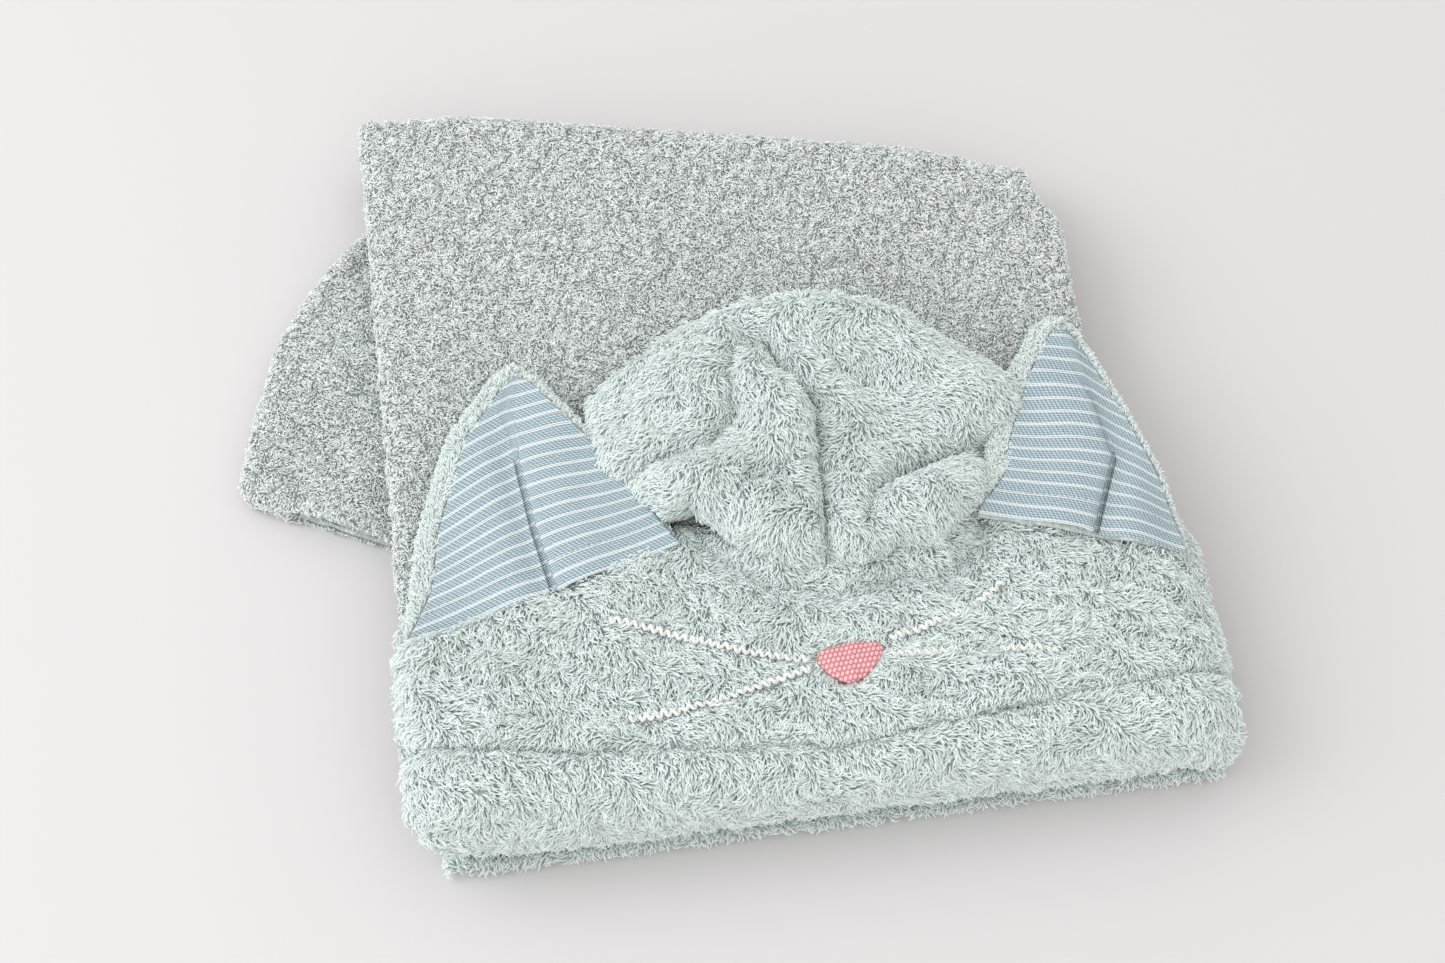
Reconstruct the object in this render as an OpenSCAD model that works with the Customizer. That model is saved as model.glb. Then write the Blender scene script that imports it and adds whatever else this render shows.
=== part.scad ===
// Hooded baby towel, folded flat with its cat-eared hood laid on top.
// Origin: centre of the folded bundle's footprint, on the surface it lies on.
// +X runs along the hood's front edge, +Y away from it towards the back fold, +Z up.

/* [Folded towel] */
// Distance from the left fold to the right edges of the folded panels
panel_w = 340; // [330:1:345]
// Half of the overall depth, front edge to back corner
half_depth = 208; // [206:1:212]
// Half of the overall width, flap corner to the hood's right side
half_width = 222; // [220:1:226]
// Angle between the back fold and the front edge
fold_angle = 13; // [11:0.5:15]
// Thickness of one terry layer, pile included
layer_t = 6.2; // [5:0.1:6.8]
// Clear gap between layers that only lie on each other
layer_gap = 0.3; // [0.3:0.1:0.6]
// Radius of the flap's rounded corner
flap_corner_r = 18; // [12:1:24]
// Width of the turned hem at the towel's end
end_hem_w = 22; // [15:1:30]

/* [Hood] */
// Thickness of the hood's long-pile face panel
face_t = 9; // [8:0.5:10]
// Thickness of the hood's under panel and of the crown's flat border
under_t = 5; // [4:0.5:6]
// Height of the collapsed head pocket between the hood's two sides
pocket_gap = 5; // [4.5:0.1:6]
// Distance of the hem's stitch line behind the front edge
hem_line = 30; // [26:1:34]
// Radius of the hood's rounded front edge
brim_r = 24; // [20:1:26]
// Height of the brim's lower edge above the surface
brim_lift = 12; // [11:0.5:14]
// Height of the crown's ridge above the surface
crown_top = 82; // [74:1:84]

/* [Ears and face] */
// Thickness of an ear's terry back
ear_back_t = 5; // [4:0.5:5.5]
// Thickness of an ear's striped lining
ear_lining_t = 1.6; // [1:0.2:1.8]
// Distance of an ear's hem stitching from its base
ear_hem = 16; // [12:1:20]
// Width of the embroidered nose
nose_w = 30; // [24:1:34]
// Width of a whisker's zigzag
whisker_w = 3.6; // [2.5:0.1:4.5]
// Thickness of the embroidery thread
thread_t = 0.9; // [0.6:0.1:1.2]

/* [Hidden] */

terry = "#B7C6C1";
terry_deep = "#A3B3AE";
chambray = "#8DA3AE";
thread_white = "#EEF1EE";
thread_pink = "#E58A93";

// Levels of the stacked layers
pitch = layer_t + layer_gap;
function level(i) = i * pitch;
bundle_top = level(5) + layer_t;
fold_z = bundle_top / 2;
fold_r = bundle_top / 2;
ply_t = 2 * layer_t + layer_gap;
split_gap = 0.3;
join = 1;

// Plan lines of the bundle
left_x = -146;
right_x = left_x + panel_w;
under_gap = 0.3;
drop_t = 4.7;
stack_front = -half_depth + face_t + pocket_gap + drop_t + under_gap;
back_left = [left_x, half_depth];
fold_dir = [cos(fold_angle), -sin(fold_angle)];
fold_in = [-sin(fold_angle), -cos(fold_angle)];
function back_y(x) = half_depth - (x - left_x) * tan(fold_angle);
function inset_y(x) = back_y(x) - fold_r / cos(fold_angle);

function arc(c, r, a0, a1, n = 8) = [
    for (i = [0:n]) c + r * [cos(a0 + (a1 - a0) * i / n), sin(a0 + (a1 - a0) * i / n)]
];

// Levels of the hood
under_z = bundle_top + under_gap;
pocket_z = under_z + under_t;
face_z = pocket_z + pocket_gap;
face_top = face_z + face_t;
skirt_top = face_z + under_t;
hood_left = -150;
hood_right = half_width;
hem_y = -half_depth + hem_line;
side_wall = 6;
groove = 1.6;

// Seam that joins the face panel to the crown, and holds both ears
seam_w = 3;
seam_line = [[hood_left, -124], [-16, -91], [122, -101], [hood_right, -119]];

// Crown: plan centre line of its seam, back to front
crown_split = [[37, 40], [48, -130]];
crown_seam_w = 1.8;
rim_w = 7;
crown_plan = [
    [-44, -17], [-14, 9], [38, 25], [94, 13], [137, -15], [142, -30],
    [121, -70], [60, -84], [0, -74], [-20, -60]
];
crown_centre = [46, -14];
lip_plan = [[-17, -62], [2, -84], [22, -102], [49, -116], [86, -107], [114, -97], [121, -66]];
lip_centre = [54, -80];

// Ear plans: base ends, then the outline's shoulder points and tip
ear_gap = 0.6;
ear_z = skirt_top + ear_gap;
left_ear = [[-142, -117], [-131, -62], [-112, -16], [-90, 17], [-78, 18], [-48, -18], [-30, -54], [-19, -86]];
right_ear = [[127, -97], [142, -55], [158, -22], [176, 4], [186, 4], [200, -36], [209, -76], [212, -112]];

module layer_outline(x0, x1, y_front, corner_r) {
    polygon(concat(
        [[x0, y_front]],
        [[x1, y_front]],
        [[x1, inset_y(x1) - corner_r]],
        arc([x1 - corner_r, inset_y(x1) - corner_r * 0.8], corner_r, 0, 77),
        [[x0, inset_y(x0)]]
    ));
}

// Half-round fold that joins two layers along a side, radius one layer and half a gap
module side_fold(y_front, z_mid, x) {
    r = layer_t + layer_gap / 2;
    translate([x, y_front, z_mid])
        rotate([-90, 0, 0])
            linear_extrude(inset_y(x) - y_front)
                intersection() {
                    circle(r, $fn = 48);
                    translate([-2 * r - split_gap, -r])
                        square([2 * r, 2 * r]);
                }
}

module fold_frame() {
    translate([back_left[0], back_left[1], fold_z])
        rotate([0, 0, -fold_angle])
            children();
}

// Back fold: two layers that turn round the bundle's far end, cut at mid height
module back_fold(upper) {
    len = panel_w / cos(fold_angle);
    intersection() {
        fold_frame()
            translate([-30, -fold_r, 0])
                rotate([90, 0, 90])
                    linear_extrude(len + 60)
                        intersection() {
                            difference() {
                                circle(fold_r, $fn = 96);
                                circle(fold_r - ply_t, $fn = 64);
                            }
                            translate([split_gap, upper ? split_gap / 2 : -fold_r])
                                square([fold_r, fold_r - split_gap / 2]);
                        }
        translate([left_x + (upper ? 0 : 22), 0, -1])
            cube([panel_w - 8 - (upper ? 0 : 22), half_depth, bundle_top + 2]);
    }
}

// Outline of the towel's end: its left side leans out of the bundle as a flap
module end_outline(inset) {
    c = [-half_width + flap_corner_r, 2];
    polygon(concat(
        [[-122 + inset, inset_y(-122 + inset)], [-150 + inset, 143], [-178 + inset, 108], [-198 + inset, 72]],
        arc(c, flap_corner_r - inset, 170, 245),
        [[-146, -39 + inset]],
        [[134, stack_front]],
        [[right_x - 3, stack_front]],
        [[right_x - 3, inset_y(right_x) - 20]],
        [[right_x - 20, inset_y(right_x - 20)]]
    ));
}

module end_hem_zone() {
    polygon([
        [-300, 44], [-300, -10], [-146, -70], [134, stack_front - 30],
        [134, stack_front - 4], [-146, -39 + end_hem_w], [-200, -15 + end_hem_w]
    ]);
}

module end_panel_lower() {
    color(terry_deep)
        linear_extrude(layer_t)
            end_outline(2);
}

module end_panel_upper() {
    color(terry_deep)
        translate([0, 0, level(1)])
            linear_extrude(layer_t)
                difference() {
                    end_outline(2);
                    end_hem_zone();
                }
}

// Rounded outer edge of the flap, where its two layers are one fold
module end_panel_side_fold() {
    color(terry_deep)
        translate([0, 0, 1.5])
            linear_extrude(ply_t - 3)
                difference() {
                    end_outline(0);
                    end_outline(2 - split_gap);
                    translate([-120, -400])
                        square([600, 800]);
                    translate([-160, -80])
                        square([80, 60]);
                }
}

module end_panel_hem() {
    color(terry_deep)
        translate([0, 0, level(1)])
            linear_extrude(layer_t)
                intersection() {
                    end_outline(2 + split_gap);
                    translate([0, -split_gap])
                        end_hem_zone();
                }
}

module panel_layer(i, x0, x1, corner_r) {
    translate([0, 0, level(i)])
        linear_extrude(layer_t)
            layer_outline(x0, x1, stack_front, corner_r);
}

module middle_panel_lower() {
    color(terry_deep)
        panel_layer(2, left_x + 4 + layer_t, right_x - 5, 16);
}

module middle_panel_upper() {
    color(terry_deep)
        panel_layer(3, left_x + 4 + layer_t, right_x - 5, 16);
}

module middle_panel_side_fold() {
    color(terry_deep)
        side_fold(stack_front, level(3) - layer_gap / 2, left_x + 4 + layer_t);
}

module back_fold_lower() {
    color(terry_deep)
        back_fold(false);
}

module back_fold_upper() {
    color(terry)
        back_fold(true);
}

module top_panel_lower() {
    color(terry)
        panel_layer(4, left_x + layer_t, right_x, 20);
}

module top_panel_upper() {
    color(terry)
        panel_layer(5, left_x + layer_t, right_x, 20);
}

module top_panel_side_fold() {
    color(terry)
        side_fold(stack_front, level(5) - layer_gap / 2, left_x + layer_t);
}

// Flattened hood, seen from above: straight front, half-round back
module hood_outline(inset) {
    polygon([
        [hood_left + inset, -300], [hood_right - inset, -300],
        [hood_right - inset, -112], [hood_right - 20 - inset, -68], [176, -38 - inset],
        [146, -16 - inset], [104, 10 - inset], [68, 22 - inset], [0, 22 - inset],
        [-24, 10 - inset], [-52, -10 - inset], [-96, -40 - inset], [-132, -80 - inset],
        [hood_left + inset, -112]
    ]);
}

module behind_seam(offset_y) {
    polygon(concat(
        [for (p = seam_line) p + [0, offset_y]],
        [[hood_right, 300], [hood_left, 300]]
    ));
}

// Under side of the hood: lies on the towel, drops over its front and ends in a foot
module hood_under_panel() {
    color(terry_deep) {
        translate([0, 0, under_z])
            linear_extrude(under_t)
                intersection() {
                    hood_outline(1);
                    translate([-300, stack_front - under_gap - drop_t])
                        square([600, 600]);
                }
        translate([hood_left + 2, stack_front - under_gap - drop_t, 0.8])
            cube([hood_right - hood_left - 6, drop_t, under_z]);
        translate([hood_left + 2, -half_depth + 2, 0.8])
            cube([hood_right - hood_left - 6, face_t + pocket_gap, 5.4]);
    }
}

// Roll of seam allowance that joins the hood to the towel behind the crown
module neck_seam() {
    color(terry_deep)
        translate([0, 25.2, under_z + 2.4])
            rotate([0, 90, 0])
                cylinder(h = 70, r = 2.2, $fn = 32);
}

module hood_face_panel() {
    wall_h = face_z - pocket_z;
    color(terry) {
        translate([0, 0, face_z])
            linear_extrude(face_t)
                difference() {
                    translate([hood_left, hem_y + groove / 2])
                        square([hood_right - hood_left, 200]);
                    behind_seam(-seam_w / 2);
                }
        for (x = [hood_left, hood_right - side_wall])
            translate([x, hem_y + groove / 2, pocket_z])
                cube([side_wall, -126 - hem_y, wall_h]);
    }
}

// Turned hem: runs over the rounded front edge and hangs down as the pocket's brim
module hood_front_hem() {
    bend = [brim_r, face_top - brim_r];
    back = hem_line - groove / 2;
    color(terry)
        translate([hood_left, -half_depth, 0])
            rotate([90, 0, 90])
                linear_extrude(hood_right - hood_left)
                    polygon(concat(
                        [[0, brim_lift]],
                        arc(bend, brim_r, 180, 90, 12),
                        [[back, face_top], [back, face_z]],
                        arc(bend, brim_r - face_t, 90, 180, 12),
                        [[face_t, brim_lift]]
                    ));
}

// Thread row that closes the hem, sunk between the hem and the face panel
module hood_hem_stitching() {
    stitch = 3.2;
    gap = 1.1;
    first = hood_left + 4;
    count = floor((hood_right - hood_left - 8) / (stitch + gap));
    color(thread_white)
        for (i = [0:count - 1])
            translate([first + i * (stitch + gap), hem_y - 0.5, face_z + 2])
                cube([stitch, 1, face_t - 4]);
}

// Seam between face panel and crown
module ear_seam() {
    color(terry_deep)
        translate([0, 0, face_z])
            linear_extrude(under_t)
                intersection() {
                    difference() {
                        behind_seam(-seam_w / 2 + 0.1);
                        behind_seam(seam_w / 2 - 0.1);
                    }
                    hood_outline(0.4);
                }
}

function shrink(points, c, k) = [for (p = points) c + (p - c) * k];

module tier(points, z) {
    translate([0, 0, z])
        linear_extrude(0.5)
            polygon(points);
}

// Puffed form of the crown: upright sides below, drawn in towards its top
module crown_form() {
    hull() {
        tier(crown_plan, skirt_top - join);
        tier(crown_plan, crown_top - 16);
        tier(shrink(crown_plan, crown_centre, 0.75), crown_top - 5);
        tier(shrink(crown_plan, crown_centre, 0.45), crown_top - 0.5);
    }
}

// Front of the crown, folded forward over the face panel
module crown_lip() {
    hull() {
        tier(shrink(lip_plan, lip_centre, 0.9), face_top + 0.8);
        tier(lip_plan, crown_top - 16);
        tier(shrink(lip_plan, lip_centre, 0.7), crown_top - 6);
    }
}

module crown_outer() {
    crown_form();
    crown_lip();
}

// Inside of the crown, open to the pocket below
module crown_inner() {
    hull() {
        tier(shrink(crown_plan, crown_centre, 0.87), pocket_z - 3);
        tier(shrink(crown_plan, crown_centre, 0.87), crown_top - 20);
        tier(shrink(crown_plan, crown_centre, 0.6), crown_top - 9);
    }
}

// Half plane on one side of the crown's centre seam; side is -1 for left, 1 for right
module crown_side(side) {
    shift = side * crown_seam_w / 2;
    linear_extrude(200)
        polygon([
            crown_split[0] + [shift, 60], crown_split[0] + [shift, 0],
            crown_split[1] + [shift, 0], crown_split[1] + [shift, -60],
            crown_split[1] + [side * 400, -60], crown_split[0] + [side * 400, 60]
        ]);
}

// Flat border round the crown, with the rim that closes the pocket at its back
module crown_border() {
    difference() {
        translate([0, 0, pocket_z])
            linear_extrude(skirt_top - pocket_z)
                intersection() {
                    hood_outline(0);
                    behind_seam(seam_w / 2);
                }
        translate([0, 0, pocket_z - 1])
            linear_extrude(pocket_gap + 1)
                hood_outline(rim_w);
    }
}

module crown_half(side) {
    intersection() {
        difference() {
            union() {
                crown_outer();
                crown_border();
            }
            crown_inner();
        }
        crown_side(side);
    }
}

module crown_left() {
    color(terry)
        crown_half(-1);
}

module crown_right() {
    color(terry)
        crown_half(1);
}

module crown_seam() {
    color(terry_deep)
        difference() {
            crown_outer();
            crown_inner();
            crown_side(1);
            crown_side(-1);
        }
}

// Satin-stitched nose: a rounded triangle, point to the front
module nose() {
    w = nose_w / 2;
    color(thread_pink)
        translate([51, -154, face_top])
            linear_extrude(thread_t)
                polygon(concat(
                    arc([-w + 4, 3], 4, 120, 215, 5),
                    arc([0, -7], 5, 235, 305, 5),
                    arc([w - 4, 5], 4, -35, 65, 5),
                    arc([1, 4], 5.2, 75, 105, 3)
                ));
}

// Zigzag embroidery from point a to point b
module whisker(a, b) {
    d = b - a;
    len = norm(d);
    u = d / len;
    v = [-u[1], u[0]];
    zigs = round(len / 4.2);
    half = whisker_w / 2 - thread_t / 2;
    mid = [for (i = [0:zigs]) a + d * i / zigs + v * half * (i % 2 == 0 ? 1 : -1)];
    color(thread_white)
        translate([0, 0, face_top])
            linear_extrude(thread_t)
                polygon(concat(
                    [for (p = mid) p + v * thread_t / 2],
                    [for (i = [zigs:-1:0]) mid[i] - v * thread_t / 2]
                ));
}

module whisker_left_upper() {
    whisker([-53, -121], [33, -152]);
}

module whisker_left_lower() {
    whisker([-50, -171], [32, -158]);
}

module whisker_right_upper() {
    whisker([69, -147], [124, -128]);
}

module whisker_right_lower() {
    whisker([68, -158], [142, -164]);
}

module ear_plan(points, inset) {
    offset(delta = -inset)
        polygon(points);
}

// Terry back of an ear; the striped lining lies on it and faces up
module ear_back(points) {
    color(terry)
        translate([0, 0, ear_z])
            linear_extrude(ear_back_t)
                polygon(points);
}

module ear_lining(points) {
    color(chambray)
        translate([0, 0, ear_z + ear_back_t])
            linear_extrude(ear_lining_t)
                ear_plan(points, 3);
}

// Row of thread across the lining, parallel to the ear's base
module ear_stitching(points) {
    a = points[0];
    b = points[len(points) - 1];
    angle = atan2(b[1] - a[1], b[0] - a[0]);
    base = norm(b - a);
    stitch = 2.6;
    pitch_x = 3.6;
    start = 12;
    color(thread_white)
        translate([a[0], a[1], ear_z + ear_back_t + ear_lining_t])
            rotate([0, 0, angle])
                for (x = [start:pitch_x:base - start - stitch])
                    translate([x, ear_hem, 0])
                        cube([stitch, 0.7, 0.5]);
}

module ear_left_back() {
    ear_back(left_ear);
}

module ear_left_lining() {
    ear_lining(left_ear);
}

module ear_left_stitching() {
    ear_stitching(left_ear);
}

module ear_right_back() {
    ear_back(right_ear);
}

module ear_right_lining() {
    ear_lining(right_ear);
}

module ear_right_stitching() {
    ear_stitching(right_ear);
}

end_panel_lower();
end_panel_upper();
end_panel_side_fold();
end_panel_hem();
middle_panel_lower();
middle_panel_upper();
middle_panel_side_fold();
back_fold_lower();
back_fold_upper();
top_panel_lower();
top_panel_upper();
top_panel_side_fold();
hood_under_panel();
neck_seam();
hood_face_panel();
hood_front_hem();
hood_hem_stitching();
ear_seam();
crown_left();
crown_right();
crown_seam();
nose();
whisker_left_upper();
whisker_left_lower();
whisker_right_upper();
whisker_right_lower();
ear_left_back();
ear_left_lining();
ear_left_stitching();
ear_right_back();
ear_right_lining();
ear_right_stitching();
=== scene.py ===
import math

import bpy
import numpy as np
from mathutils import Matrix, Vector
from mathutils.bvhtree import BVHTree


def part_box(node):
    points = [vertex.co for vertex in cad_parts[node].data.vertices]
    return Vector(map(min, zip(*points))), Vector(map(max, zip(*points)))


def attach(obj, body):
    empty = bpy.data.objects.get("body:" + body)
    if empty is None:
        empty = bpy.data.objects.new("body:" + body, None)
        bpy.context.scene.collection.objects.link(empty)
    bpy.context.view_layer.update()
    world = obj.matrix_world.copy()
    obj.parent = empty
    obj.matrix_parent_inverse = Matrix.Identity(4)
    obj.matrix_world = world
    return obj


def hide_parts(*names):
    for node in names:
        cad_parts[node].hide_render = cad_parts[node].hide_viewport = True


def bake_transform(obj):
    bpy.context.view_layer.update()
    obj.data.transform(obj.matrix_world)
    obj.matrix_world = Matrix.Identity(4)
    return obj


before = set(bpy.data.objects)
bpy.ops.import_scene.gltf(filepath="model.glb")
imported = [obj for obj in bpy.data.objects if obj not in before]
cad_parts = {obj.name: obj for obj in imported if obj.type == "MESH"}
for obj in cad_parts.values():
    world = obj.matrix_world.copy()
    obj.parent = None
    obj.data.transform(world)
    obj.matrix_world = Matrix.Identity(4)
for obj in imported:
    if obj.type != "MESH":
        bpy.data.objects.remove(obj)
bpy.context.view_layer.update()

# ---------------------------------------------------------------- sizes, in millimetres
MM = 0.001
FINE, COARSE = ((2.5, 4.2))  # grid pitch of seen and of hidden cloth
TERRY_PITCH, PLUSH_PITCH = ((0.85, 0.95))  # distance between strands
LINING_PITCH = 1.25


def box(node):
    """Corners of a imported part's box, in mm."""
    lo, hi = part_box(node)
    return np.array(lo) / MM, np.array(hi) / MM


top_lo, top_hi = box("top_panel_upper")
fold_lo, _ = box("top_panel_side_fold")
_, back_hi = box("back_fold_upper")
mid_lo, mid_hi = box("middle_panel_lower")
_, mid_up_hi = box("middle_panel_upper")
mid_fold_lo, _ = box("middle_panel_side_fold")
_, end_hi = box("end_panel_lower")
face_lo, face_hi = box("hood_face_panel")
brim_lo, _ = box("hood_front_hem")
under_lo, _ = box("hood_under_panel")

LEFT, RIGHT = fold_lo[0], top_hi[0]
FRONT, BACK = top_lo[1], back_hi[1]
TOP = top_hi[2]
FOLD_ANGLE = math.radians(13)  # of the back fold to the front edge
LOOP = TOP / 2  # outer radius of the back fold
LAYER = top_hi[2] - top_lo[2]
HALF = (LAYER + 0.3) / 2  # from a folded ply's middle to either of its layers


def fold_start(x):
    """Where the flat panels end and the back fold begins."""
    return BACK - (x - LEFT) * math.tan(FOLD_ANGLE) - LOOP / math.cos(FOLD_ANGLE)


# ---------------------------------------------------------------- numeric helpers
def waves(seed, size, count=9):
    """A smooth random field of roughly unit spread; size is its wavelength in mm."""
    rng = np.random.default_rng(seed)
    way = rng.normal(size=(count, 3))
    way /= np.linalg.norm(way, axis=1)[:, None]
    rate = 2 * np.pi / size * (0.7 + 0.6 * rng.random(count))
    phase = rng.random(count) * 2 * np.pi

    def field(p):
        out = np.zeros(p.shape[:-1])
        for i in range(count):
            out += np.sin((p @ way[i]) * rate[i] + phase[i])
        return out * math.sqrt(2 / count)

    return field


def steps(length, pitch, edge):
    """Positions along a length, closer together at both rounded ends."""
    n = max(2, round((length - 2 * edge) / pitch))
    rim = edge * np.array([0, 0.08, 0.3, 0.62])
    return np.r_[rim, np.linspace(edge, length - edge, n + 1), length - rim[::-1]]


def smooth(a, b, x):
    """0 at a, 1 at b, eased between them."""
    t = np.clip((x - a) / (b - a), 0, 1)
    return t * t * (3 - 2 * t)


def hump(d, width):
    """1 where d is 0, dying out over the width."""
    return np.exp(-(d / width) ** 2)


def mound(x, y, cx, cy, sx, sy, turn=0.0):
    """A hump about a point, with two widths and a turn."""
    c, s = math.cos(turn), math.sin(turn)
    dx, dy = x - cx, y - cy
    return np.exp(-((dx * c + dy * s) / sx) ** 2 - ((-dx * s + dy * c) / sy) ** 2)


def rounding(d, radius):
    """How far a quarter circle, as a share of its radius, has dropped at d from its end."""
    return 1 - np.sqrt(1 - (1 - np.clip(d / radius, 0, 1)) ** 2)


def norm(v):
    return v / np.maximum(np.linalg.norm(v, axis=-1, keepdims=True), 1e-9)


def line_dist(x, y, points):
    """Distance from (x, y) to a polyline."""
    best = np.full(np.shape(x), 1e9)
    for (x0, y0), (x1, y1) in zip(points[:-1], points[1:]):
        dx, dy = x1 - x0, y1 - y0
        t = np.clip(((x - x0) * dx + (y - y0) * dy) / (dx * dx + dy * dy), 0, 1)
        best = np.minimum(best, np.hypot(x - x0 - t * dx, y - y0 - t * dy))
    return best


def lengths(points):
    """Distance along a polyline, at each of its points."""
    return np.r_[0, np.cumsum(np.linalg.norm(np.diff(points, axis=0), axis=1))]


def along_line(q, run, points):
    """The point at distance q along a polyline whose lengths() are run."""
    return np.array([np.interp(q, run, points[:, 0]), np.interp(q, run, points[:, 1])])


def grid_normals(p):
    return norm(np.cross(np.gradient(p, axis=0), np.gradient(p, axis=1)))


def to_nearer_end(p, axis):
    """Distance to the nearer end of each grid line."""
    seg = np.linalg.norm(np.diff(p, axis=axis), axis=-1)
    zero = np.zeros_like(np.take(seg, [0], axis=axis))
    run = np.concatenate([zero, np.cumsum(seg, axis=axis)], axis=axis)
    return np.minimum(run, np.take(run, [-1], axis=axis) - run)


# ---------------------------------------------------------------- meshes
small_tuft = waves(11, 6.2, 12)
large_tuft = waves(12, 15, 9)


def tufts(p, amount):
    return amount * (0.62 * small_tuft(p) + 0.38 * large_tuft(p))


def make(name, verts, faces, material, uv=None):
    mesh = bpy.data.meshes.new(name)
    mesh.from_pydata((np.asarray(verts) * MM).tolist(), [], faces)
    mesh.validate()
    mesh.update()
    if uv is not None:
        layer = mesh.uv_layers.new(name="cloth")
        loops = np.zeros(len(mesh.loops), np.int32)
        mesh.loops.foreach_get("vertex_index", loops)
        layer.data.foreach_set("uv", np.asarray(uv, np.float32)[loops].ravel())
    mesh.polygons.foreach_set("use_smooth", [True] * len(mesh.polygons))
    obj = bpy.data.objects.new(name, mesh)
    bpy.context.scene.collection.objects.link(obj)
    mesh.materials.append(material)
    return obj


def grid_quads(ids, turned):
    a, b, c, d = ids[:-1, :-1], ids[1:, :-1], ids[1:, 1:], ids[:-1, 1:]
    corners = [d, c, b, a] if turned else [a, b, c, d]
    return np.stack(corners, axis=-1).reshape(-1, 4)


def shell(name, mid, thick, material, edge=3.0, tuft=0.6, uv=None, flip=False):
    """A closed sheet of cloth about a grid of points, with rounded rims and a tufted surface."""
    mid = np.asarray(mid, float)
    nu, nv = mid.shape[:2]
    nrm = -grid_normals(mid) if flip else grid_normals(mid)
    rim = np.minimum(to_nearer_end(mid, 0), to_nearer_end(mid, 1))
    taper = 1 - rounding(rim, edge)
    half = thick / 2 * taper
    outer = mid + nrm * (half + tufts(mid, tuft) * taper)[..., None]
    inner = mid - nrm * (half + tufts(mid + 40, tuft) * taper)[..., None]
    outer_ids = np.arange(nu * nv).reshape(nu, nv)
    inner_ids = outer_ids.copy()
    inner_ids[1:-1, 1:-1] = np.arange((nu - 2) * (nv - 2)).reshape(nu - 2, nv - 2) + nu * nv
    verts = np.concatenate([outer.reshape(-1, 3), inner[1:-1, 1:-1].reshape(-1, 3)])
    faces = np.concatenate([grid_quads(outer_ids, flip), grid_quads(inner_ids, not flip)])
    if uv is not None:
        uv = np.concatenate([uv.reshape(-1, 2), uv[1:-1, 1:-1].reshape(-1, 2)])
    obj = make(name, verts, faces.tolist(), material, uv)
    obj["outer_faces"] = (nu - 1) * (nv - 1)
    return obj


def tube(name, runs, radius, material, sides):
    """Closed round strands along runs of points."""
    verts, faces = [], []
    for run in runs:
        run = np.asarray(run, float)
        forward = norm(np.gradient(run, axis=0))
        a = norm(np.cross(forward, np.array([0.0, 0.0, 1.0])) + 1e-6)
        b = np.cross(a, forward)
        first, last = len(verts), len(verts) + (len(run) - 1) * sides
        rad = np.full(len(run), radius)
        rad[0] = rad[-1] = radius * 0.55
        for i in range(len(run)):
            for k in range(sides):
                w = 2 * math.pi * k / sides
                verts.append(run[i] + (a[i] * math.cos(w) + b[i] * math.sin(w)) * rad[i])
        for ring in range(first, last, sides):
            for k in range(sides):
                j = (k + 1) % sides
                faces.append([ring + k, ring + j, ring + sides + j, ring + sides + k])
        faces.append([first + k for k in range(sides)][::-1])
        faces.append([last + k for k in range(sides)])
    return make(name, np.array(verts), faces, material)


def surface_sampler(obj, missed=50.0):
    """A function that gives the height of a mesh's upper side at a point seen from above."""
    corners = [tuple(v.co / MM) for v in obj.data.vertices]
    tree = BVHTree.FromPolygons(corners, [tuple(p.vertices) for p in obj.data.polygons])

    def height(x, y):
        hit = tree.ray_cast(Vector((x, y, 200)), Vector((0, 0, -1)))
        return hit[0][2] if hit[0] is not None else missed

    return height


def stand_in(obj, slot, *nodes):
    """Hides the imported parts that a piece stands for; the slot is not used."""
    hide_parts(*nodes)


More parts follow.
